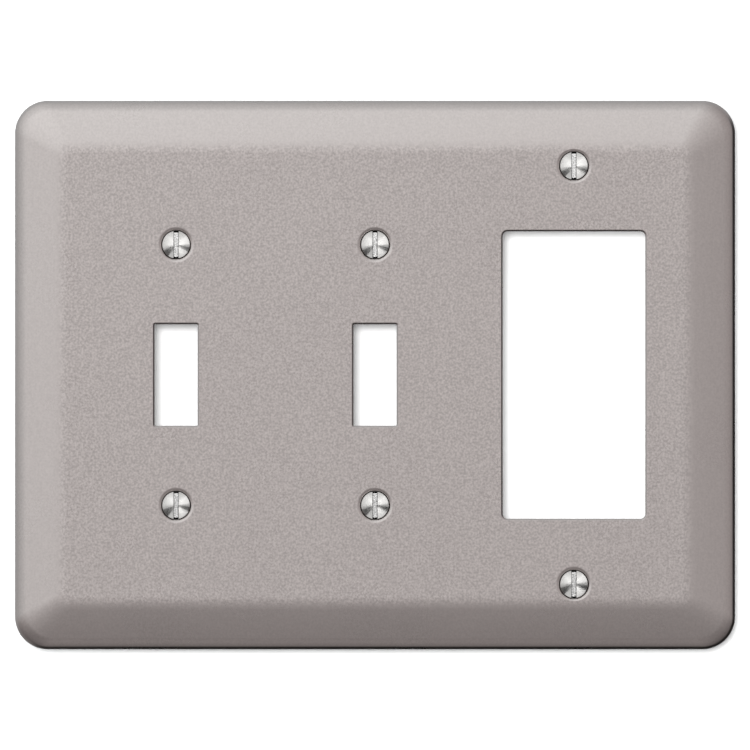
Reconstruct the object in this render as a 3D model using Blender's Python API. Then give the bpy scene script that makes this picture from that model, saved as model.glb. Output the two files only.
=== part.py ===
"""Three-gang stamped metal wall plate, two toggle openings and one rocker opening, with its six screws.

Frame: +Z up, +X to the right of someone facing the plate, and the front looks along -Y. The origin is
the middle of the wall plane, which the back edge of the plate's rim touches. Depths below are measured
from the front face towards the wall.
"""

import math

import bmesh
import bpy
from mathutils import Matrix

MM = 0.001

# Plate
PLATE_WIDTH = 166.7 * MM
PLATE_HEIGHT = 127.0 * MM
PLATE_DEPTH = 6.4 * MM
SHEET = 0.8 * MM
CORNER_RADIUS = 7.6 * MM
FACE_CORNER_RADIUS = 1.5 * MM
CORNER_SEGMENTS = 8

# Edge of the plate in section, from the flat face out: three arcs that meet without a kink, then a
# straight skirt. Each arc is a radius, the slope it starts at, the slope it ends at, and its segments.
SKIRT_SLOPE = math.radians(79)
CREASE = (11.0 * MM, 0.0, math.radians(11.5), 3)
BAND = (75.0 * MM, math.radians(11.5), math.radians(16.5), 2)
SHOULDER = (3.4 * MM, math.radians(16.5), SKIRT_SLOPE, 6)

# Device positions and openings
GANG_PITCH = 46.04 * MM
TOGGLE_SCREW_SPACING = 60.325 * MM
ROCKER_SCREW_SPACING = 96.84 * MM
TOGGLE_OPENING = (10.3 * MM, 23.8 * MM, 0.4 * MM)
ROCKER_OPENING = (33.3 * MM, 66.8 * MM, 1.3 * MM)
OPENING_CORNER_SEGMENTS = 4

# Oval-head screw, 6-32 UNC, half an inch long under the dome
CONE_HALF_ANGLE = math.radians(41)
HEAD_RADIUS = 3.25 * MM
HEAD_RISE = 1.0 * MM
HEAD_RIM_DEPTH = 0.1 * MM
HEAD_CONE_DEPTH = 0.25 * MM
NECK_RADIUS = 1.4 * MM
SCREW_LENGTH = 12.7 * MM
SLOT_WIDTH = 1.2 * MM
SLOT_FLOOR_DEPTH = 0.7 * MM
THREAD_RADIUS = 1.7525 * MM
THREAD_PITCH = 25.4 / 32 * MM
THREAD_HEIGHT = 0.487 * MM
THREAD_CREST_WIDTH = THREAD_PITCH / 8
THREAD_ROOT_WIDTH = THREAD_PITCH / 4
THREAD_SEGMENTS = 12
HEAD_SEGMENTS = 28
DOME_RINGS = 4

# Formed screw seat, parallel to the head's cone
SEAT_GAP = 0.3 * MM
SEAT_LIP_ROUND = 0.3 * MM
SEAT_DEPTH = 2.5 * MM
SCREW_HOLE_RADIUS = 2.15 * MM
SEAT_SEGMENTS = 28
LIP_SEGMENTS = 3
SHARP_ANGLE = math.radians(25)

FINISHES = {
    "satin_nickel": ((0.58, 0.525, 0.51), 0.42),
    "polished_nickel": ((0.80, 0.79, 0.77), 0.18),
}

TOGGLE_LEFT_X = -GANG_PITCH
TOGGLE_MID_X = 0.0
ROCKER_X = GANG_PITCH
SCREWS = {
    "screw_toggle_left_top": (TOGGLE_LEFT_X, TOGGLE_SCREW_SPACING / 2),
    "screw_toggle_left_bottom": (TOGGLE_LEFT_X, -TOGGLE_SCREW_SPACING / 2),
    "screw_toggle_mid_top": (TOGGLE_MID_X, TOGGLE_SCREW_SPACING / 2),
    "screw_toggle_mid_bottom": (TOGGLE_MID_X, -TOGGLE_SCREW_SPACING / 2),
    "screw_rocker_top": (ROCKER_X, ROCKER_SCREW_SPACING / 2),
    "screw_rocker_bottom": (ROCKER_X, -ROCKER_SCREW_SPACING / 2),
}


def clear_scene():
    for thing in list(bpy.data.objects):
        bpy.data.objects.remove(thing, do_unlink=True)


def finish(name):
    """The metal called name, made once and then shared."""
    material = bpy.data.materials.get(name)
    if material is None:
        colour, roughness = FINISHES[name]
        material = bpy.data.materials.new(name)
        material.use_nodes = True
        shader = material.node_tree.nodes["Principled BSDF"]
        shader.inputs["Base Color"].default_value = (*colour, 1.0)
        shader.inputs["Metallic"].default_value = 1.0
        shader.inputs["Roughness"].default_value = roughness
    return material


def add_object(name, mesh_builder, finish_name=None):
    """A new object whose mesh is read from mesh_builder, with its faces pointing out."""
    bmesh.ops.recalc_face_normals(mesh_builder, faces=mesh_builder.faces)
    mesh = bpy.data.meshes.new(name)
    mesh_builder.to_mesh(mesh)
    mesh_builder.free()
    mesh.shade_smooth()
    mesh.set_sharp_from_angle(angle=SHARP_ANGLE)
    thing = bpy.data.objects.new(name, mesh)
    bpy.context.scene.collection.objects.link(thing)
    if finish_name:
        mesh.materials.append(finish(finish_name))
    return thing


def add_cutter(name, mesh_builder):
    """A guide solid for a Boolean, which isn't part of the object."""
    thing = add_object(name, mesh_builder)
    thing.hide_render = True
    thing.display_type = "WIRE"
    return thing


def add_boolean(thing, operation, tool):
    modifier = thing.modifiers.new(f"{operation.lower()} {tool.name}", "BOOLEAN")
    modifier.operation = operation
    modifier.solver = "EXACT"
    modifier.object = tool


def from_front(depth):
    """The Y coordinate of a depth below the front face."""
    return depth - PLATE_DEPTH


def bridge(mesh_builder, ring, next_ring):
    """Quads between two closed rings of the same number of vertices."""
    count = len(ring)
    for i in range(count):
        j = (i + 1) % count
        mesh_builder.faces.new((ring[i], ring[j], next_ring[j], next_ring[i]))


def rounded_rectangle(width, height, radius, segments):
    """Outline points (x, z) of a rectangle about the origin, with round corners."""
    points = []
    for corner in range(4):
        side_x = 1 if corner in (0, 3) else -1
        side_z = 1 if corner in (0, 1) else -1
        for step in range(segments + 1):
            angle = math.radians(90 * (corner + step / segments))
            x = side_x * (width / 2 - radius) + radius * math.cos(angle)
            z = side_z * (height / 2 - radius) + radius * math.sin(angle)
            points.append((x, z))
    return points


def edge_section(offset):
    """Points (distance out from the flat face, height off the wall) along the plate's edge.

    They lie on a skin offset into the metal, and the last one is at the rim.
    """
    points = []
    out, height = 0.0, PLATE_DEPTH
    for radius, start, end, segments in (CREASE, BAND, SHOULDER):
        centre = (out - radius * math.sin(start), height - radius * math.cos(start))
        for step in range(1 if points else 0, segments + 1):
            slope = start + (end - start) * step / segments
            reach = radius - offset
            points.append((centre[0] + reach * math.sin(slope), centre[1] + reach * math.cos(slope)))
        out = centre[0] + radius * math.sin(end)
        height = centre[1] + radius * math.cos(end)
    points.append((out + height / math.tan(SKIRT_SLOPE) - offset / math.sin(SKIRT_SLOPE), 0.0))
    return points


def plate_skin(mesh_builder, offset):
    """One skin of the plate from its flat face to its rim, and the ring of vertices at its rim."""
    edge_width = edge_section(0.0)[-1][0]
    rings = []
    for out, height in edge_section(offset):
        radius = FACE_CORNER_RADIUS + (CORNER_RADIUS - FACE_CORNER_RADIUS) * out / edge_width
        inset = edge_width - out
        outline = rounded_rectangle(
            PLATE_WIDTH - 2 * inset, PLATE_HEIGHT - 2 * inset, radius, CORNER_SEGMENTS
        )
        rings.append([mesh_builder.verts.new((x, -height, z)) for x, z in outline])
    for ring, next_ring in zip(rings, rings[1:]):
        bridge(mesh_builder, ring, next_ring)
    mesh_builder.faces.new(rings[0])
    return rings[-1]


def plate_shell():
    """The drawn shell before its openings are punched: an outer and an inner skin joined at the rim."""
    mesh_builder = bmesh.new()
    outer_rim = plate_skin(mesh_builder, 0.0)
    inner_rim = plate_skin(mesh_builder, SHEET)
    bridge(mesh_builder, outer_rim, inner_rim)
    return mesh_builder


def turned(mesh_builder, profile, segments, centre=(0.0, 0.0)):
    """A solid turned about an axis along Y through centre (x, z), from its (radius, depth) profile.

    A first point on the axis becomes the tip of a fan of triangles. Any other end gets a flat cap.
    """
    pointed = profile[0][0] == 0
    rings = []
    for radius, depth in profile[pointed:]:
        ring = []
        for step in range(segments):
            angle = 2 * math.pi * step / segments
            x = centre[0] + radius * math.cos(angle)
            z = centre[1] + radius * math.sin(angle)
            ring.append(mesh_builder.verts.new((x, from_front(depth), z)))
        rings.append(ring)
    for ring, next_ring in zip(rings, rings[1:]):
        bridge(mesh_builder, ring, next_ring)
    mesh_builder.faces.new(rings[-1])
    if pointed:
        tip = mesh_builder.verts.new((centre[0], from_front(profile[0][1]), centre[1]))
        for i in range(segments):
            mesh_builder.faces.new((tip, rings[0][i], rings[0][(i + 1) % segments]))
    else:
        mesh_builder.faces.new(rings[0])


def seat_radius(depth):
    """Radius of the conical screw seat at a depth below the front face."""
    mouth = HEAD_RADIUS + SEAT_GAP / math.cos(CONE_HALF_ANGLE)
    return mouth - (depth - HEAD_CONE_DEPTH) * math.tan(CONE_HALF_ANGLE)


def seat_backs():
    """The metal that the seats push out behind the face: one cone frustum for each screw."""
    thickness = SHEET / math.cos(CONE_HALF_ANGLE)
    depths = (SHEET / 2, SEAT_DEPTH)
    profile = [(seat_radius(depth) + thickness, depth) for depth in depths]
    mesh_builder = bmesh.new()
    for centre in SCREWS.values():
        turned(mesh_builder, profile, SEAT_SEGMENTS, centre)
    return mesh_builder


def seat_cuts():
    """What is taken out of each seat: a lip rounded from the face to the cone, the cone and a hole."""
    clear = 1.0 * MM
    full_turn = math.pi / 2 - CONE_HALF_ANGLE
    lip_depth = SEAT_LIP_ROUND * (1 - math.cos(full_turn))
    lip_radius = seat_radius(lip_depth) + SEAT_LIP_ROUND * math.sin(full_turn)
    profile = [(lip_radius, -clear)]
    for step in range(LIP_SEGMENTS + 1):
        turn = full_turn * step / LIP_SEGMENTS
        radius = lip_radius - SEAT_LIP_ROUND * math.sin(turn)
        profile.append((radius, SEAT_LIP_ROUND * (1 - math.cos(turn))))
    cone_end = lip_depth + (seat_radius(lip_depth) - SCREW_HOLE_RADIUS) / math.tan(CONE_HALF_ANGLE)
    profile.append((SCREW_HOLE_RADIUS, cone_end))
    profile.append((SCREW_HOLE_RADIUS, SEAT_DEPTH + clear))
    mesh_builder = bmesh.new()
    for centre in SCREWS.values():
        turned(mesh_builder, profile, SEAT_SEGMENTS, centre)
    return mesh_builder


def opening_cuts():
    """The two toggle openings and the rocker opening, as solids that pass through the face."""
    clear = 1.0 * MM
    mesh_builder = bmesh.new()
    for centre_x, size in (
        (TOGGLE_LEFT_X, TOGGLE_OPENING),
        (TOGGLE_MID_X, TOGGLE_OPENING),
        (ROCKER_X, ROCKER_OPENING),
    ):
        outline = rounded_rectangle(*size, OPENING_CORNER_SEGMENTS)
        ends = []
        for y in (from_front(-clear), from_front(SHEET + clear)):
            ends.append([mesh_builder.verts.new((centre_x + x, y, z)) for x, z in outline])
        bridge(mesh_builder, *ends)
        mesh_builder.faces.new(ends[0])
        mesh_builder.faces.new(ends[1])
    return mesh_builder


def make_plate():
    plate = add_object("wall_plate", plate_shell(), "satin_nickel")
    add_boolean(plate, "UNION", add_cutter("seat_backs", seat_backs()))
    add_boolean(plate, "DIFFERENCE", add_cutter("seat_cuts", seat_cuts()))
    add_boolean(plate, "DIFFERENCE", add_cutter("opening_cuts", opening_cuts()))
    return plate


def head_profile():
    """The head in section, from the top of its dome over its rim and down its cone to the neck."""
    dome_radius = (HEAD_RADIUS**2 + HEAD_RISE**2) / (2 * HEAD_RISE)
    edge_turn = math.asin(HEAD_RADIUS / dome_radius)
    top = HEAD_RIM_DEPTH - HEAD_RISE
    profile = []
    for ring in range(DOME_RINGS + 1):
        turn = edge_turn * ring / DOME_RINGS
        profile.append((dome_radius * math.sin(turn), top + dome_radius * (1 - math.cos(turn))))
    cone_end = HEAD_CONE_DEPTH + (HEAD_RADIUS - NECK_RADIUS) / math.tan(CONE_HALF_ANGLE)
    profile.append((HEAD_RADIUS, HEAD_CONE_DEPTH))
    profile.append((NECK_RADIUS, cone_end))
    return profile


def helix(mesh_builder, first_depth, radii):
    """Vertices along a line that winds about the Y axis, one radius for each step, in depth order.

    Seen from the front it winds clockwise on its way in, as a right-hand thread does.
    """
    line = []
    for step, radius in enumerate(radii):
        angle = -2 * math.pi * step / THREAD_SEGMENTS
        y = from_front(first_depth + THREAD_PITCH * step / THREAD_SEGMENTS)
        line.append(mesh_builder.verts.new((radius * math.cos(angle), y, radius * math.sin(angle))))
    return line


def close_thread(mesh_builder, last_turn, crest_end, y):
    """A flat disc at y, joined to the root line's last turn.

    The seam, where that turn starts beside itself, also takes in the two vertices of the crest's end.
    """
    disc = [mesh_builder.verts.new((vertex.co.x, y, vertex.co.z)) for vertex in last_turn[:-1]]
    mesh_builder.faces.new(disc)
    for i in range(len(disc) - 1):
        mesh_builder.faces.new((disc[i], disc[i + 1], last_turn[i + 1], last_turn[i]))
    mesh_builder.faces.new((disc[-1], disc[0], last_turn[0], *crest_end, last_turn[-1], last_turn[-2]))


def threaded_shank(start, end):
    """The shank between two depths: a right-hand thread that fades in and out over one turn."""
    turn = THREAD_SEGMENTS
    run_out = THREAD_PITCH / 2
    steps = int(((end - start - 2 * run_out) / THREAD_PITCH - 1) * turn)
    first = end - run_out - (steps / turn + 1) * THREAD_PITCH
    root = THREAD_RADIUS - THREAD_HEIGHT
    crest = [root + THREAD_HEIGHT * min(1, k / turn, (steps - k) / turn) for k in range(steps + 1)]
    flank = (THREAD_PITCH - THREAD_CREST_WIDTH - THREAD_ROOT_WIDTH) / 2
    mesh_builder = bmesh.new()
    valley = helix(mesh_builder, first, [root] * (steps + turn + 1))
    rising = helix(mesh_builder, first + flank, crest)
    falling = helix(mesh_builder, first + flank + THREAD_CREST_WIDTH, crest)
    for k in range(steps):
        mesh_builder.faces.new((valley[k], valley[k + 1], rising[k + 1], rising[k]))
        mesh_builder.faces.new((rising[k], rising[k + 1], falling[k + 1], falling[k]))
        mesh_builder.faces.new((falling[k], falling[k + 1], valley[k + 1 + turn], valley[k + turn]))
    close_thread(mesh_builder, valley[: turn + 1], (rising[0], falling[0]), from_front(start))
    close_thread(mesh_builder, valley[: -turn - 2 : -1], (falling[-1], rising[-1]), from_front(end))
    return mesh_builder


def slot_cut():
    """The slot across the head: a box that clears the dome and stops at the slot's floor."""
    clear = 1.0 * MM
    top = HEAD_RIM_DEPTH - HEAD_RISE - clear
    size = (SLOT_WIDTH, SLOT_FLOOR_DEPTH - top, 2 * (HEAD_RADIUS + clear))
    middle = (0.0, from_front((SLOT_FLOOR_DEPTH + top) / 2), 0.0)
    mesh_builder = bmesh.new()
    bmesh.ops.create_cube(mesh_builder, size=1.0, matrix=Matrix.LocRotScale(middle, None, size))
    return mesh_builder


def screw_mesh():
    """The mesh that the six screws share, with its Booleans applied and its guide solids removed."""
    head_builder = bmesh.new()
    profile = head_profile()
    turned(head_builder, profile, HEAD_SEGMENTS)
    shank_start = profile[-1][1] - THREAD_PITCH / 3
    head = add_object("screw", head_builder, "polished_nickel")
    shank = add_cutter("shank", threaded_shank(shank_start, HEAD_RIM_DEPTH + SCREW_LENGTH))
    slot = add_cutter("slot", slot_cut())
    add_boolean(head, "UNION", shank)
    add_boolean(head, "DIFFERENCE", slot)
    whole = head.evaluated_get(bpy.context.evaluated_depsgraph_get())
    mesh = bpy.data.meshes.new_from_object(whole)
    for guide in (head, shank, slot):
        bpy.data.objects.remove(guide, do_unlink=True)
    return mesh


def make_screws():
    mesh = screw_mesh()
    for name, (x, z) in SCREWS.items():
        screw = bpy.data.objects.new(name, mesh)
        screw.location = (x, 0.0, z)
        bpy.context.scene.collection.objects.link(screw)


def main():
    clear_scene()
    make_plate()
    make_screws()


main()
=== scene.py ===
"""Looks of a three-gang wall plate and its six screws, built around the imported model.

Lengths are in metres, in the model's own frame: +Z up, the plate's front towards -Y, and the
wall plane at y = 0. Depths are measured from the plate's front face towards the wall.
"""

import math

import bmesh
import bpy
from mathutils import Matrix, Vector


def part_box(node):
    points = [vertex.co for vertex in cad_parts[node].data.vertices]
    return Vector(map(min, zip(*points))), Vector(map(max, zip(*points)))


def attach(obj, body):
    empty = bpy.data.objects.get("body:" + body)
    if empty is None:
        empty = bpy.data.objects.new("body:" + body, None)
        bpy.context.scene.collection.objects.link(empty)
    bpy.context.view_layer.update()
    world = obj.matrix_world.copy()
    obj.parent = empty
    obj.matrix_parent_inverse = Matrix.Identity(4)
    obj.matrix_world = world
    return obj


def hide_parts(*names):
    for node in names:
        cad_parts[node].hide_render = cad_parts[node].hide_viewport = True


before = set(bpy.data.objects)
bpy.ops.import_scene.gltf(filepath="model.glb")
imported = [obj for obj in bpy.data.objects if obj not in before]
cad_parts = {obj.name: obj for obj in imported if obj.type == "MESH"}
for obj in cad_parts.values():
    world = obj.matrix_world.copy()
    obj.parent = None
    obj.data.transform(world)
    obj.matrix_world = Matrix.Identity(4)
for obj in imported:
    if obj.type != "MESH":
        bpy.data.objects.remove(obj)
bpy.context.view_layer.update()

MM = 0.001

# Plate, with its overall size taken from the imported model
PLATE_LOW, PLATE_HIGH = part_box("wall_plate")
PLATE_WIDTH = PLATE_HIGH.x - PLATE_LOW.x
PLATE_HEIGHT = PLATE_HIGH.z - PLATE_LOW.z
PLATE_DEPTH = PLATE_HIGH.y - PLATE_LOW.y
SHEET = 0.8 * MM
RIM_ROUND = 0.14 * MM
CORNER_RADIUS = 7.6 * MM
FACE_CORNER_RADIUS = 1.5 * MM
CORNER_SEGMENTS = 28

# Edge of the plate in section, from the flat face out: three arcs that meet without a kink, then
# a straight skirt. An arc is its radius, the slopes it starts and ends at, and its segments.
SKIRT_SLOPE = math.radians(79)
CREASE = (16.0 * MM, 0.0, math.radians(11.5), 12)
BAND = (75.0 * MM, math.radians(11.5), math.radians(16.5), 6)
SHOULDER = (3.4 * MM, math.radians(16.5), SKIRT_SLOPE, 18)
RIM_SEGMENTS = 4
PLATE_SHARP_ANGLE = math.radians(32)

# Openings: width, height and corner radius. Punching rolls their front edges in and leaves their
# walls tapered, a little inside the outline at the back.
GANG_PITCH = 46.04 * MM
TOGGLE_OPENING = (10.3 * MM, 23.8 * MM, 0.4 * MM)
ROCKER_OPENING = (33.3 * MM, 66.8 * MM, 1.3 * MM)
OPENINGS = ((-GANG_PITCH, TOGGLE_OPENING), (0.0, TOGGLE_OPENING), (GANG_PITCH, ROCKER_OPENING))
OPENING_LIP = 0.1 * MM
OPENING_TAPER = 0.36 * MM
OPENING_INSET = 0.15 * MM
OPENING_CORNER_SEGMENTS = 12
LIP_SEGMENTS = 6

# Screws: oval heads with an 82 degree cone, a slot and a 6-32 thread
CONE_HALF_ANGLE = math.radians(41)
HEAD_RADIUS = 3.2 * MM
HEAD_RISE = 1.0 * MM
HEAD_RIM_DEPTH = 0.1 * MM
HEAD_CONE_DEPTH = 0.25 * MM
HEAD_EDGE_ROUND = 0.06 * MM
NECK_RADIUS = 1.4 * MM
SLOT_WIDTH = 1.2 * MM
SLOT_FLOOR_DEPTH = 0.7 * MM
THREAD_RADIUS = 1.7525 * MM
THREAD_PITCH = 25.4 / 32 * MM
THREAD_HEIGHT = 0.487 * MM
THREAD_CREST_WIDTH = THREAD_PITCH / 8
THREAD_ROOT_WIDTH = THREAD_PITCH / 4
THREAD_SEGMENTS = 32
HEAD_SEGMENTS = 96
DOME_RINGS = 14
SCREW_SHARP_ANGLE = math.radians(35)
SCREW_NODES = sorted(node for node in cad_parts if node.startswith("screw_"))

# Formed screw seats, parallel to the heads' cones
SEAT_GAP = 0.2 * MM
SEAT_LIP_ROUND = 1.15 * MM
SEAT_DEPTH = 2.5 * MM
SEAT_FILLET = 0.7 * MM
SEAT_EDGE_ROUND = 0.12 * MM
SCREW_HOLE_RADIUS = 2.15 * MM
SEAT_SEGMENTS = 72
SEAT_LIP_SEGMENTS = 10

# How far a cutter reaches past what it cuts
CLEAR = 1.0 * MM

# Studio
WALL_DISTANCE = 14 * MM
FLOOR_DROP = 30 * MM
STAGE_HALF_SIZE = 1.2
PALE = (0.86, 0.86, 0.86)
TENT_RADIUS = 1.5
BACKDROP_RADIUS = 4.0
CAMERA_DISTANCE = 0.6
PLATE_SHARE_OF_FRAME = 0.9604
KEY_STRENGTH = 3.4
KEY_SPREAD = math.radians(8.3)
KEY_PLACE = (0.0, -2.0, 0.0)
KEY_BACKWARDS = Vector((-0.042, -1.0, 0.042))
TENT_WARM = (1.0, 0.955, 0.95, 1.0)
TENT_COOL = (0.98, 1.02, 1.025, 1.0)


# Mesh tools


def from_front(depth):
    """The Y coordinate of a depth below the plate's front face."""
    return depth - PLATE_DEPTH


def arc(centre, radius, start, end, segments):
    """Points of an arc in a plane, its angles in radians."""
    points = []
    for step in range(segments + 1):
        angle = start + (end - start) * step / segments
        points.append((centre[0] + radius * math.cos(angle), centre[1] + radius * math.sin(angle)))
    return points


def bridge(builder, ring, next_ring, material=0):
    """Quads between two closed rings of the same number of vertices."""
    count = len(ring)
    for i in range(count):
        j = (i + 1) % count
        face = builder.faces.new((ring[i], ring[j], next_ring[j], next_ring[i]))
        face.material_index = material


def rounded_rectangle(width, height, radius, segments):
    """Outline points (x, z) of a rectangle about the origin, with round corners."""
    points = []
    for corner in range(4):
        side_x = 1 if corner in (0, 3) else -1
        side_z = 1 if corner in (0, 1) else -1
        centre = (side_x * (width / 2 - radius), side_z * (height / 2 - radius))
        start = math.pi / 2 * corner
        points += arc(centre, radius, start, start + math.pi / 2, segments)
    return points


def turned(builder, profile, segments, centre=(0.0, 0.0)):
    """A solid turned about an axis along Y at centre (x, z), from its (radius, depth) profile.

    A first point on the axis becomes the tip of a fan of triangles. Any other end gets a flat cap.
    """
    pointed = profile[0][0] == 0
    rings = []
    for radius, depth in profile[pointed:]:
        outline = arc(centre, radius, 0, 2 * math.pi, segments)[:-1]
        rings.append([builder.verts.new((x, from_front(depth), z)) for x, z in outline])
    for ring, next_ring in zip(rings, rings[1:]):
        bridge(builder, ring, next_ring)
    builder.faces.new(rings[-1])
    if pointed:
        tip = builder.verts.new((centre[0], from_front(profile[0][1]), centre[1]))
        for i in range(segments):
            builder.faces.new((tip, rings[0][i], rings[0][(i + 1) % segments]))
    else:
        builder.faces.new(rings[0])


def add_object(name, builder, materials=()):
    """A new object whose mesh is read from builder, with its faces pointing out."""
    bmesh.ops.recalc_face_normals(builder, faces=builder.faces)
    mesh = bpy.data.meshes.new(name)
    builder.to_mesh(mesh)
    builder.free()
    mesh.shade_smooth()
    thing = bpy.data.objects.new(name, mesh)
    bpy.context.scene.collection.objects.link(thing)
    for material in materials:
        mesh.materials.append(material)
    return thing


def add_boolean(thing, operation, tool):
    modifier = thing.modifiers.new(operation.lower(), "BOOLEAN")
    modifier.operation = operation
    modifier.solver = "EXACT"
    modifier.material_mode = "TRANSFER"
    modifier.object = tool


def applied(thing, tools):
    """The mesh of thing with its modifiers applied. thing and its tools are removed."""
    whole = thing.evaluated_get(bpy.context.evaluated_depsgraph_get())
    mesh = bpy.data.meshes.new_from_object(whole)
    for spent in (thing, *tools):
        bpy.data.objects.remove(spent, do_unlink=True)
    return mesh


def shade_by_area(thing, sharp_angle):
    """Smooth shading that keeps flats flat.

    Edges over sharp_angle stay crisp, and big faces rule the rest.
    """
    thing.data.shade_smooth()
    thing.data.set_sharp_from_angle(angle=sharp_angle)
    modifier = thing.modifiers.new("face weighted shading", "WEIGHTED_NORMAL")
    modifier.mode = "FACE_AREA"
    modifier.weight = 100
    modifier.keep_sharp = True


# Materials


class Nodes:
    """Short forms for building a node tree."""

    def __init__(self, tree):
        self.tree = tree
        self.place = self.node("ShaderNodeTexCoord")

    def node(self, kind, **settings):
        made = self.tree.nodes.new(kind)
        for name, value in settings.items():
            setattr(made, name, value)
        return made

    def link(self, source, target):
        self.tree.links.new(source, target)

    def separated(self, vector):
        made = self.node("ShaderNodeSeparateXYZ")
        self.link(vector, made.inputs[0])
        return made.outputs

    def math(self, operation, *values):
        made = self.node("ShaderNodeMath", operation=operation)
        for socket, value in zip(made.inputs, values):
            if isinstance(value, (int, float)):
                socket.default_value = value
            else:
                self.link(value, socket)
        return made.outputs[0]

    def ranged(self, value, low, high, new_low, new_high):
        made = self.node("ShaderNodeMapRange")
        for socket, number in zip(made.inputs[1:5], (low, high, new_low, new_high)):
            socket.default_value = number
        self.link(value, made.inputs["Value"])
        return made.outputs["Result"]

    def varied(self, noise, low, high):
        """From low to high over the middle of a noise's range, where most of it lies."""
        return self.ranged(noise, *NOISE_MIDDLE, low, high)


class Surface(Nodes):
    """A new material with a Principled shader, and short forms for its textures."""

    def __init__(self, name, metallic=1.0):
        self.material = bpy.data.materials.new(name)
        self.material.use_nodes = True
        super().__init__(self.material.node_tree)
        self.shader = self.tree.nodes["Principled BSDF"]
        self.shader.inputs["Metallic"].default_value = metallic

    def noise(self, scale, detail=2.0, roughness=0.5):
        """Noise from 0 to 1 with scale cells per metre along X, Y and Z."""
        mapping = self.node("ShaderNodeMapping")
        mapping.inputs["Scale"].default_value = scale
        self.link(self.place.outputs["Object"], mapping.inputs["Vector"])
        noise = self.node("ShaderNodeTexNoise")
        noise.inputs["Scale"].default_value = 1.0
        noise.inputs["Detail"].default_value = detail
        noise.inputs["Roughness"].default_value = roughness
        self.link(mapping.outputs["Vector"], noise.inputs["Vector"])
        return noise.outputs["Fac"]

    def tinted(self, colour, brightness):
        """colour times a brightness that varies over the surface."""
        made = self.node("ShaderNodeVectorMath", operation="SCALE")
        made.inputs[0].default_value = colour
        self.link(brightness, made.inputs["Scale"])
        self.link(made.outputs["Vector"], self.shader.inputs["Base Color"])

    def rough(self, roughness):
        self.link(roughness, self.shader.inputs["Roughness"])

    def bumped(self, *layers):
        """Layers of (height, distance, strength), one on top of the other."""
        normal = None
        for height, distance, strength in layers:
            made = self.node("ShaderNodeBump")
            made.inputs["Distance"].default_value = distance
            made.inputs["Strength"].default_value = strength
            self.link(height, made.inputs["Height"])
            if normal is not None:
                self.link(normal, made.inputs["Normal"])
            normal = made.outputs["Normal"]
        self.link(normal, self.shader.inputs["Normal"])


NOISE_MIDDLE = (0.3, 0.7)
SATIN_COLOUR = (0.58, 0.525, 0.51)
DULL_COLOUR = (0.56, 0.525, 0.51)
# Painted shade: the insides of the screw seats are near black, as the gap round each head is
# shaded.
SEAT_SHADE_COLOUR = (0.05, 0.048, 0.046)
BRIGHT_COLOUR = (0.66, 0.65, 0.635)
SAWN_COLOUR = (0.92, 0.91, 0.90)


def satin_nickel():
    """Satin nickel: an even fine grain, strong on the flat face and faint on the bands."""
    satin = Surface("satin_nickel")
    facing = satin.math("ABSOLUTE", satin.separated(satin.place.outputs["Normal"])["Y"])
    flat = satin.ranged(facing, math.cos(math.radians(8)), math.cos(math.radians(3)), 0.3, 1.0)
    grain = satin.noise((2000, 2000, 2000), detail=1.0)
    brushed = satin.noise((5200, 5200, 300))
    cloud = satin.noise((45, 45, 45), detail=3.0)
    light = satin.math("MULTIPLY", satin.varied(grain, -0.17, 0.17), flat)
    light = satin.math("ADD", light, satin.varied(brushed, -0.02, 0.02))
    light = satin.math("ADD", light, satin.varied(cloud, 0.985, 1.015))
    satin.tinted(SATIN_COLOUR, light)
    satin.rough(satin.varied(cloud, 0.26, 0.30))
    satin.bumped((brushed, 2e-6, 0.5), (grain, 4e-6, 0.5))
    return satin.material


def dull_nickel():
    """The plate's unbrushed back: the same plating over drawn steel, duller and blotchier."""
    dull = Surface("dull_nickel")
    blotch = dull.noise((130, 130, 130), detail=5.0, roughness=0.6)
    grain = dull.noise((3200, 3200, 3200))
    dull.tinted(DULL_COLOUR, dull.varied(blotch, 0.93, 1.05))
    dull.rough(dull.varied(blotch, 0.5, 0.58))
    dull.bumped((grain, 6e-6, 0.6))
    return dull.material


def painted_seat_shade():
    """The inside of a screw seat, painted near black as shade for the gap round each head."""
    seat_shade = Surface("painted_seat_shade")
    blotch = seat_shade.noise((900, 900, 900), detail=4.0)
    seat_shade.tinted(SEAT_SHADE_COLOUR, seat_shade.varied(blotch, 0.8, 1.1))
    seat_shade.rough(seat_shade.varied(blotch, 0.45, 0.6))
    seat_shade.bumped((blotch, 1e-5, 0.5))
    return seat_shade.material


def bright_nickel():
    """Turned and polished nickel: fine rings round the axis fan highlights out from the middle."""
    bright = Surface("bright_nickel")
    place = bright.separated(bright.place.outputs["Object"])
    across = bright.math("MULTIPLY", place["X"], place["X"])
    radius = bright.math("SQRT", bright.math("MULTIPLY_ADD", place["Z"], place["Z"], across))
    rings = bright.node("ShaderNodeTexNoise", noise_dimensions="1D")
    rings.inputs["Scale"].default_value = 14000
    bright.link(radius, rings.inputs["W"])
    grain = bright.noise((2500, 2500, 2500))
    bright.tinted(BRIGHT_COLOUR, bright.varied(grain, 0.96, 1.03))
    bright.rough(bright.varied(grain, 0.27, 0.33))
    bright.bumped((rings.outputs["Fac"], 1.2e-6, 0.5))
    tangent = bright.node("ShaderNodeTangent", direction_type="RADIAL", axis="Y")
    bright.link(tangent.outputs["Tangent"], bright.shader.inputs["Tangent"])
    bright.shader.inputs["Anisotropic"].default_value = 1.0
    bright.shader.inputs["Anisotropic Rotation"].default_value = 0.25
    return bright.material


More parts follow.
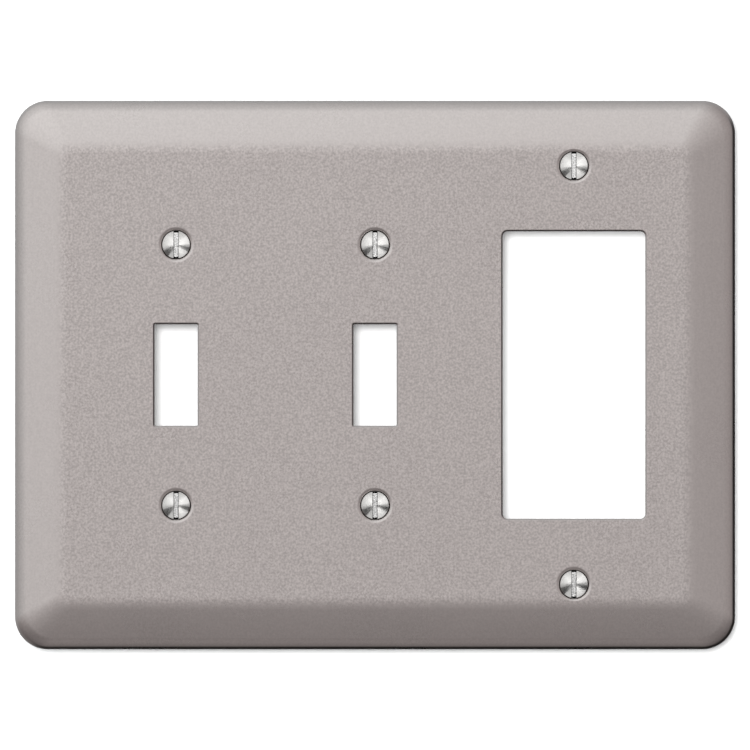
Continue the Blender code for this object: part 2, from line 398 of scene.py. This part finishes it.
def sawn_nickel():
    """The slot: plated over coarse saw marks that run along it, with painted shade where its walls
    rise.
    """
    sawn = Surface("sawn_nickel")
    marks = sawn.noise((9000, 9000, 1400), detail=3.0)
    lumps = sawn.noise((3000, 3000, 3000))
    across = sawn.math("ABSOLUTE", sawn.separated(sawn.place.outputs["Object"])["X"])
    # Painted shade: the floor darkens towards the slot's walls, where shade falls.
    painted_shade_factor = sawn.ranged(across, SLOT_WIDTH / 2 * 0.66, SLOT_WIDTH / 2 * 0.95, 1.0, 0.2)
    light = sawn.math("MULTIPLY", sawn.ranged(lumps, 0.35, 0.65, 0.55, 1.05), painted_shade_factor)
    sawn.tinted(SAWN_COLOUR, light)
    sawn.rough(sawn.varied(lumps, 0.28, 0.42))
    sawn.bumped((marks, 8e-6, 0.8), (lumps, 6e-5, 0.9))
    return sawn.material


# Plate


def edge_arcs():
    """The arcs of the plate's edge in section, and the point where its straight skirt starts.

    Points are (distance out from the flat face, height off the wall).
    """
    arcs = []
    out, height = 0.0, PLATE_DEPTH
    for radius, start, end, segments in (CREASE, BAND, SHOULDER):
        centre = (out - radius * math.sin(start), height - radius * math.cos(start))
        arcs.append((centre, radius, start, end, segments))
        out = centre[0] + radius * math.sin(end)
        height = centre[1] + radius * math.cos(end)
    return arcs, (out, height)


def skirt_foot(offset):
    """Where the skirt of a skin offset into the metal would meet the wall."""
    _, (out, height) = edge_arcs()
    return out + height / math.tan(SKIRT_SLOPE) - offset / math.sin(SKIRT_SLOPE)


def edge_section(offset):
    """Points along a skin's edge, from the flat face to halfway round the rim."""
    points = []
    for centre, radius, start, end, segments in edge_arcs()[0]:
        bend = arc(centre, radius - offset, math.pi / 2 - start, math.pi / 2 - end, segments)
        points += bend[1:] if points else bend
    side = -1 if offset else 1
    foot = skirt_foot(offset)
    middle = foot - RIM_ROUND * (side + math.cos(SKIRT_SLOPE)) / math.sin(SKIRT_SLOPE)
    points += arc((middle, RIM_ROUND), RIM_ROUND, math.pi * (1 - side / 2) - SKIRT_SLOPE,
                  math.pi * (0.5 - side), RIM_SEGMENTS)
    return points


def plate_skin(builder, offset, material):
    """One skin of the plate from its flat face to its rim, and the ring of vertices at its rim."""
    edge_width = skirt_foot(0.0)
    rings = []
    for out, height in edge_section(offset):
        radius = FACE_CORNER_RADIUS + (CORNER_RADIUS - FACE_CORNER_RADIUS) * out / edge_width
        inset = edge_width - out
        outline = rounded_rectangle(
            PLATE_WIDTH - 2 * inset, PLATE_HEIGHT - 2 * inset, radius, CORNER_SEGMENTS)
        rings.append([builder.verts.new((x, -height, z)) for x, z in outline])
    for ring, next_ring in zip(rings, rings[1:]):
        bridge(builder, ring, next_ring, material)
    builder.faces.new(rings[0]).material_index = material
    return rings[-1]


def plate_shell(materials):
    """The drawn shell before it is punched: an outer and an inner skin joined at the rim."""
    builder = bmesh.new()
    outer_rim = plate_skin(builder, 0.0, 0)
    inner_rim = plate_skin(builder, SHEET, 1)
    bridge(builder, outer_rim, inner_rim)
    return add_object("wall_plate_skin", builder, materials)


def seat_radius(depth):
    """Radius of the conical screw seat at a depth below the front face."""
    mouth = HEAD_RADIUS + SEAT_GAP / math.cos(CONE_HALF_ANGLE)
    return mouth - (depth - HEAD_CONE_DEPTH) * math.tan(CONE_HALF_ANGLE)


def seat_back_profile():
    """The cone that a seat pushes out behind the face, with a filleted foot and a soft end."""
    thickness = SHEET / math.cos(CONE_HALF_ANGLE)
    turn = math.pi / 2 - CONE_HALF_ANGLE
    foot_depth = SHEET + SEAT_FILLET * (1 - math.cos(turn))
    foot_radius = seat_radius(foot_depth) + thickness + SEAT_FILLET * math.sin(turn)
    inside = SHEET / 2
    profile = [(foot_radius, inside)]
    for radius, depth in arc((foot_radius, SHEET + SEAT_FILLET), SEAT_FILLET, -math.pi / 2,
                             -math.pi / 2 - turn, LIP_SEGMENTS)[1:]:
        profile.append((radius, depth))
    end_radius = seat_radius(SEAT_DEPTH - SEAT_EDGE_ROUND) + thickness
    profile.append((end_radius, SEAT_DEPTH - SEAT_EDGE_ROUND))
    profile.append((end_radius - SEAT_EDGE_ROUND, SEAT_DEPTH))
    return profile


def seat_lip():
    """A seat's lip, rounded from the face to the cone, as (radius, depth) points."""
    turn = math.pi / 2 - CONE_HALF_ANGLE
    depth = SEAT_LIP_ROUND * (1 - math.cos(turn))
    radius = seat_radius(depth) + SEAT_LIP_ROUND * math.sin(turn)
    return arc((radius, SEAT_LIP_ROUND), SEAT_LIP_ROUND, -math.pi / 2, -math.pi / 2 - turn,
               SEAT_LIP_SEGMENTS)


def seat_cut_profile():
    """What a seat loses: its lip, its cone and a clearance hole."""
    lip = seat_lip()
    radius, depth = lip[-1]
    cone_end = depth + (radius - SCREW_HOLE_RADIUS) / math.tan(CONE_HALF_ANGLE)
    return [(lip[0][0], -CLEAR), *lip, (SCREW_HOLE_RADIUS, cone_end),
            (SCREW_HOLE_RADIUS, SEAT_DEPTH + CLEAR)]


def screw_places():
    """Each screw's axis as (x, z), read from its CAD solid."""
    places = {}
    for node in SCREW_NODES:
        low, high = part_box(node)
        places[node] = ((low.x + high.x) / 2, (low.z + high.z) / 2)
    return places


def seat_tool(name, profile, lip_material, inner_material):
    """Six solids at the screws' places. Their faces deeper than the lip take inner_material."""
    builder = bmesh.new()
    for centre in screw_places().values():
        turned(builder, profile, SEAT_SEGMENTS, centre)
    for face in builder.faces:
        face.material_index = face.calc_center_median().y > from_front(seat_lip()[-1][1])
    return add_object(name, builder, (lip_material, inner_material))


def opening_profile():
    """Points (widening, depth) of an opening's wall: a rolled lip, then a taper to the back."""
    turn = math.pi / 2 - math.atan(OPENING_TAPER / SHEET)
    lip_depth = OPENING_LIP * (1 - math.cos(turn))
    reach = OPENING_TAPER * (1 - lip_depth / SHEET) + OPENING_LIP * math.sin(turn) - OPENING_INSET
    lip = arc((reach, OPENING_LIP), OPENING_LIP, -math.pi / 2, -math.pi / 2 - turn, LIP_SEGMENTS)
    return [(reach, -CLEAR), *lip, (-OPENING_INSET, SHEET), (-OPENING_INSET, SHEET + CLEAR)]


def opening_tool(materials):
    """Cutters for the three openings."""
    builder = bmesh.new()
    for centre_x, (width, height, radius) in OPENINGS:
        rings = []
        for grow, depth in opening_profile():
            outline = rounded_rectangle(
                width + 2 * grow, height + 2 * grow, radius + grow, OPENING_CORNER_SEGMENTS)
            y = from_front(depth)
            rings.append([builder.verts.new((centre_x + x, y, z)) for x, z in outline])
        for ring, next_ring in zip(rings, rings[1:]):
            bridge(builder, ring, next_ring)
        builder.faces.new(rings[0])
        builder.faces.new(rings[-1])
    return add_object("opening_tool", builder, materials)


def make_plate():
    front, back, seat_shade = satin_nickel(), dull_nickel(), painted_seat_shade()
    shell = plate_shell((front, back))
    tools = [
        seat_tool("seat_backs", seat_back_profile(), back, back),
        # The seats' inner faces take the near black painted shade.
        seat_tool("seat_cuts", seat_cut_profile(), front, seat_shade),
        opening_tool((front,)),
    ]
    for operation, tool in zip(("UNION", "DIFFERENCE", "DIFFERENCE"), tools):
        add_boolean(shell, operation, tool)
    mesh = applied(shell, tools)
    plate = bpy.data.objects.new("plate", mesh)
    bpy.context.scene.collection.objects.link(plate)
    shade_by_area(plate, PLATE_SHARP_ANGLE)
    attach(plate, "wall_plate")
    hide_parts("wall_plate")
    return plate


# Screws


def head_profile():
    """The head in section, from the top of its dome over its softened rim and down to the neck."""
    dome_radius = (HEAD_RADIUS**2 + HEAD_RISE**2) / (2 * HEAD_RISE)
    edge_turn = math.asin((HEAD_RADIUS - HEAD_EDGE_ROUND) / dome_radius)
    top = HEAD_RIM_DEPTH - HEAD_RISE
    profile = []
    for ring in range(DOME_RINGS + 1):
        turn = edge_turn * ring / DOME_RINGS
        profile.append((dome_radius * math.sin(turn), top + dome_radius * (1 - math.cos(turn))))
    profile.append((HEAD_RADIUS - HEAD_EDGE_ROUND / 4, HEAD_RIM_DEPTH + HEAD_EDGE_ROUND / 4))
    profile.append((HEAD_RADIUS, HEAD_RIM_DEPTH + HEAD_EDGE_ROUND))
    profile.append((HEAD_RADIUS, HEAD_CONE_DEPTH))
    cone_end = HEAD_CONE_DEPTH + (HEAD_RADIUS - NECK_RADIUS) / math.tan(CONE_HALF_ANGLE)
    profile.append((NECK_RADIUS, cone_end))
    return profile


def helix(builder, first_depth, radii):
    """Vertices along a line that winds about the Y axis, one radius for each step, in depth order.

    Seen from the front it winds clockwise on its way in, as a right-hand thread does.
    """
    line = []
    for step, radius in enumerate(radii):
        angle = -2 * math.pi * step / THREAD_SEGMENTS
        y = from_front(first_depth + THREAD_PITCH * step / THREAD_SEGMENTS)
        line.append(builder.verts.new((radius * math.cos(angle), y, radius * math.sin(angle))))
    return line


def close_thread(builder, last_turn, crest_end, y):
    """A flat disc at y, joined to the root line's last turn.

    The seam, where that turn starts beside itself, also takes in the crest's two end vertices.
    """
    disc = [builder.verts.new((vertex.co.x, y, vertex.co.z)) for vertex in last_turn[:-1]]
    builder.faces.new(disc)
    for i in range(len(disc) - 1):
        builder.faces.new((disc[i], disc[i + 1], last_turn[i + 1], last_turn[i]))
    builder.faces.new((disc[-1], disc[0], last_turn[0], *crest_end, last_turn[-1], last_turn[-2]))


def threaded_shank(start, end):
    """The shank between two depths: a right-hand thread that fades in and out over one turn."""
    turn = THREAD_SEGMENTS
    run_out = THREAD_PITCH / 2
    steps = int(((end - start - 2 * run_out) / THREAD_PITCH - 1) * turn)
    first = end - run_out - (steps / turn + 1) * THREAD_PITCH
    root = THREAD_RADIUS - THREAD_HEIGHT
    crest = [root + THREAD_HEIGHT * min(1, k / turn, (steps - k) / turn) for k in range(steps + 1)]
    flank = (THREAD_PITCH - THREAD_CREST_WIDTH - THREAD_ROOT_WIDTH) / 2
    builder = bmesh.new()
    valley = helix(builder, first, [root] * (steps + turn + 1))
    rising = helix(builder, first + flank, crest)
    falling = helix(builder, first + flank + THREAD_CREST_WIDTH, crest)
    for k in range(steps):
        builder.faces.new((valley[k], valley[k + 1], rising[k + 1], rising[k]))
        builder.faces.new((rising[k], rising[k + 1], falling[k + 1], falling[k]))
        builder.faces.new((falling[k], falling[k + 1], valley[k + 1 + turn], valley[k + turn]))
    close_thread(builder, valley[: turn + 1], (rising[0], falling[0]), from_front(start))
    close_thread(builder, valley[: -turn - 2 : -1], (falling[-1], rising[-1]), from_front(end))
    return builder


def slot_tool(material):
    """The slot across the head: a box that clears the dome and stops at the slot's floor."""
    top = HEAD_RIM_DEPTH - HEAD_RISE - CLEAR
    size = (SLOT_WIDTH, SLOT_FLOOR_DEPTH - top, 2 * (HEAD_RADIUS + CLEAR))
    middle = (0.0, from_front((SLOT_FLOOR_DEPTH + top) / 2), 0.0)
    builder = bmesh.new()
    bmesh.ops.create_cube(builder, size=1.0, matrix=Matrix.LocRotScale(middle, None, size))
    return add_object("slot_tool", builder, (material,))


def screw_mesh():
    """The mesh that the six screws share."""
    bright, sawn = bright_nickel(), sawn_nickel()
    profile = head_profile()
    builder = bmesh.new()
    turned(builder, profile, HEAD_SEGMENTS)
    head = add_object("screw_head", builder, (bright, sawn))
    tip_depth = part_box(SCREW_NODES[0])[1].y + PLATE_DEPTH
    thread = threaded_shank(profile[-1][1] - THREAD_PITCH / 3, tip_depth)
    shank = add_object("shank", thread, (bright,))
    slot = slot_tool(sawn)
    add_boolean(head, "UNION", shank)
    add_boolean(head, "DIFFERENCE", slot)
    mesh = applied(head, (shank, slot))
    mesh.name = "screw"
    return mesh


def make_screws():
    mesh = screw_mesh()
    screws = []
    for node, (x, z) in screw_places().items():
        screw = bpy.data.objects.new(node.replace("screw_", "oval_screw_"), mesh)
        screw.location = (x, 0.0, z)
        bpy.context.scene.collection.objects.link(screw)
        shade_by_area(screw, SCREW_SHARP_ANGLE)
        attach(screw, node)
        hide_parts(node)
        screws.append(screw)
    return screws


# Studio


def pale_material(name):
    """Matt and pale, for the floor and the wall."""
    plain = Surface(name, metallic=0.0)
    plain.shader.inputs["Base Color"].default_value = (*PALE, 1.0)
    plain.shader.inputs["Roughness"].default_value = 0.9
    plain.shader.inputs["Specular IOR Level"].default_value = 0.0
    return plain


def make_stage_piece(name, builder, material):
    """Scenery that the metal doesn't mirror."""
    piece = add_object(name, builder, (material,))
    piece.visible_glossy = False
    piece.visible_transmission = False
    return piece


def make_sheet(name, material):
    builder = bmesh.new()
    bmesh.ops.create_grid(builder, x_segments=1, y_segments=1, size=STAGE_HALF_SIZE)
    return make_stage_piece(name, builder, material)


def make_floor():
    floor = make_sheet("floor", pale_material("pale_floor").material)
    floor.location = (0.0, 0.0, PLATE_LOW.z - FLOOR_DROP)
    return floor


def make_wall():
    """A pale wall behind the plate, which takes the plate's shadow and lights nothing itself.

    It shows only from its front, so the plate's back can be seen.
    """
    pale = pale_material("pale_wall")
    mix = pale.node("ShaderNodeMixShader")
    pale.link(pale.node("ShaderNodeNewGeometry").outputs["Backfacing"], mix.inputs[0])
    pale.link(pale.shader.outputs[0], mix.inputs[1])
    pale.link(pale.node("ShaderNodeBsdfTransparent").outputs[0], mix.inputs[2])
    pale.link(mix.outputs[0], pale.tree.nodes["Material Output"].inputs["Surface"])
    wall = make_sheet("wall", pale.material)
    wall.rotation_euler = (math.radians(90), 0.0, 0.0)
    wall.location = (0.0, WALL_DISTANCE, 0.0)
    wall.visible_diffuse = False
    return wall


def glowing(name):
    """A material that only shines, and its emission node."""
    surface = Surface(name)
    glow = surface.node("ShaderNodeEmission")
    surface.link(glow.outputs[0], surface.tree.nodes["Material Output"].inputs["Surface"])
    return surface, glow


def make_dome(name, radius, material):
    """A sphere round the studio, which casts no shadow."""
    builder = bmesh.new()
    bmesh.ops.create_icosphere(builder, subdivisions=5, radius=radius)
    dome = make_stage_piece(name, builder, material)
    dome.visible_shadow = False
    return dome


def make_backdrop():
    """A plain white dome far round the studio, seen by the camera but by nothing else."""
    white, _ = glowing("white_backdrop")
    dome = make_dome("backdrop", BACKDROP_RADIUS, white.material)
    dome.visible_diffuse = False


def make_tent():
    """The light tent: brightest in front and above to the left, dim below to the right.

    It is black behind the plate's lower right, and glows straight behind it to show the back.
    """
    tent, glow = glowing("light_tent")
    tent.material.cycles.emission_sampling = "NONE"
    way = tent.node("ShaderNodeVectorMath", operation="NORMALIZE")
    tent.link(tent.place.outputs["Object"], way.inputs[0])
    way = tent.separated(way.outputs[0])
    front = tent.math("MULTIPLY", way["Y"], -1.0)

    # rise grows upwards and to the left. It is held back at the upper right and lower left.
    rise = tent.math("MULTIPLY_ADD", way["X"], -0.6, way["Z"])
    corner = tent.math("MAXIMUM", tent.math("MULTIPLY", way["X"], way["Z"]), 0.0)
    corner = tent.math("MULTIPLY", corner, tent.ranged(way["X"], -0.35, 0.35, 2.9, 1.5))
    rise = tent.math("SUBTRACT", rise, corner)
    rise = tent.math("MAXIMUM", rise, tent.math("MULTIPLY", rise, 0.64))

    # The level follows rise, most steeply in front, with a darker lower part.
    slope = tent.math("POWER", tent.math("MAXIMUM", front, 0.0), 2.7)
    slope = tent.math("MULTIPLY_ADD", slope, 0.84, 0.22)
    level = tent.math("MULTIPLY_ADD", front, 0.19, 0.56)
    level = tent.math("MULTIPLY_ADD", slope, rise, level)
    level = tent.math("SUBTRACT", level, tent.ranged(way["Z"], -0.18, -0.26, 0.0, 0.09))

    # A little more at the upper left and less at the lower right.
    slant = tent.math("MULTIPLY", tent.math("MULTIPLY", way["X"], way["Z"]), -1.0)
    slant = tent.math("MAXIMUM", slant, 0.0)
    slant = tent.math("MULTIPLY", slant, tent.math("SUBTRACT", way["Z"], way["X"]))
    level = tent.math("MULTIPLY_ADD", slant, 0.15, level)

    # Black behind the lower right, but for the glow straight behind.
    behind = tent.ranged(front, -0.52, -0.66, 0.0, 1.0)
    lower_right = tent.ranged(tent.math("SUBTRACT", way["X"], way["Z"]), 0.15, 0.35, 0.0, 1.0)
    lit = tent.math("SUBTRACT", 1.0, tent.math("MULTIPLY", behind, lower_right))
    straight = tent.ranged(front, -0.96, -0.985, 0.0, 0.6)
    level = tent.math("MULTIPLY_ADD", tent.math("MAXIMUM", level, 0.0), lit, straight)
    tent.link(level, glow.inputs["Strength"])

    # Warmer where rise is low, cooler where it is high.
    warmth = tent.node("ShaderNodeValToRGB")
    warmth.color_ramp.elements[0].color = TENT_WARM
    warmth.color_ramp.elements[1].color = TENT_COOL
    tent.link(tent.ranged(rise, -0.5, 0.5, 0.0, 1.0), warmth.inputs[0])
    tent.link(warmth.outputs["Color"], glow.inputs["Color"])
    dome = make_dome("light_tent", TENT_RADIUS, tent.material)
    dome.visible_camera = False
    dome.visible_glossy = True
    return dome


def lights_only(source, name, receivers):
    """Keeps source's light to receivers."""
    group = bpy.data.collections.new(f"{name}_receivers")
    for thing in receivers:
        group.objects.link(thing)
    source.light_linking.receiver_collection = group


def add_lamp(name, light, place, backwards, only_on):
    """A lamp that shines away from the direction backwards, on only_on alone."""
    lamp = bpy.data.objects.new(name, light)
    lamp.location = place
    lamp.rotation_mode = "QUATERNION"
    lamp.rotation_quaternion = backwards.to_track_quat("Z", "Y")
    lamp.visible_camera = False
    bpy.context.scene.collection.objects.link(lamp)
    lights_only(lamp, name, only_on)


def make_key(wall):
    """Near-parallel light on the wall alone: it gives the plate a short shadow, lower right."""
    light = bpy.data.lights.new("wall_key", "SUN")
    light.energy = KEY_STRENGTH
    light.angle = KEY_SPREAD
    add_lamp("wall_key", light, KEY_PLACE, KEY_BACKWARDS, (wall,))


def screw_panel(name, low, high, radiance, screws):
    """A flat light between two opposite corners, which share a coordinate. It faces the middle."""
    centre, span = (Vector(low) + Vector(high)) / 2, Vector(high) - Vector(low)
    flat = min(range(3), key=lambda axis: span[axis])
    aim = centre.copy()
    aim[flat] = 0.0
    light = bpy.data.lights.new(name, "AREA")
    light.shape = "RECTANGLE"
    light.size, light.size_y = [span[axis] for axis in ((1, 2), (0, 2), (0, 1))[flat]]
    light.energy = radiance * math.pi * light.size * light.size_y
    add_lamp(name, light, centre, centre - aim, screws)


def make_screw_lights(screws):
    """Panels round the screws. Their edges are what fans out as light and dark across each head.

    The side panels run from in front of the plate to behind it, with gaps at the lower left and
    the lower right. All of them are inside the tent.
    """
    side, front, back = 0.6, -1.1, 0.8
    for name, x, low, high, radiance in (
        ("right", side, 0.05, side, 1.35),
        ("right_edge", side, -0.09, 0.05, 0.6),
        ("left", -side, -0.09, side, 0.93),
        ("left_edge", -side, -0.22, -0.09, 0.67),
    ):
        screw_panel(f"screw_{name}", (x, front, low), (x, back, high), radiance, screws)
    for name, z, low, high, radiance in (
        ("top", side, -side, side, 0.85),
        ("bottom_left", -side, -0.47, 0.0, 1.0),
        ("bottom_right", -side, 0.0, 1.1, 1.15),
    ):
        screw_panel(f"screw_{name}", (low, front, z), (high, back, z), radiance, screws)
    for name, y, low, high, radiance in (
        ("front_right", front, (0.07, 0.0), (side, side), 2.5),
        ("front_left", front, (-side, -0.03), (-0.07, side), 2.7),
        ("front_low", front, (0.09, -side), (side, -0.25), 3.0),
        ("back", back, (-side, -side), (side, side), 0.6),
    ):
        screw_panel(f"screw_{name}", (low[0], y, low[1]), (high[0], y, high[1]), radiance, screws)


def make_lights(plate, screws, floor, wall):
    lights_only(make_tent(), "light_tent", (plate, floor, wall))
    make_key(wall)
    make_screw_lights(screws)


def make_camera():
    """A long-lens view straight at the front: no perspective shows on a part this thin."""
    data = bpy.data.cameras.new("camera")
    data.type = "ORTHO"
    data.ortho_scale = PLATE_WIDTH / PLATE_SHARE_OF_FRAME
    camera = bpy.data.objects.new("camera", data)
    camera.location = (0.0, -CAMERA_DISTANCE, 0.0)
    camera.rotation_euler = (math.radians(90), 0.0, 0.0)
    bpy.context.scene.collection.objects.link(camera)
    bpy.context.scene.camera = camera


def main():
    plate = make_plate()
    screws = make_screws()
    make_backdrop()
    make_lights(plate, screws, make_floor(), make_wall())
    make_camera()
    bpy.context.scene.view_settings.view_transform = "Standard"


main()
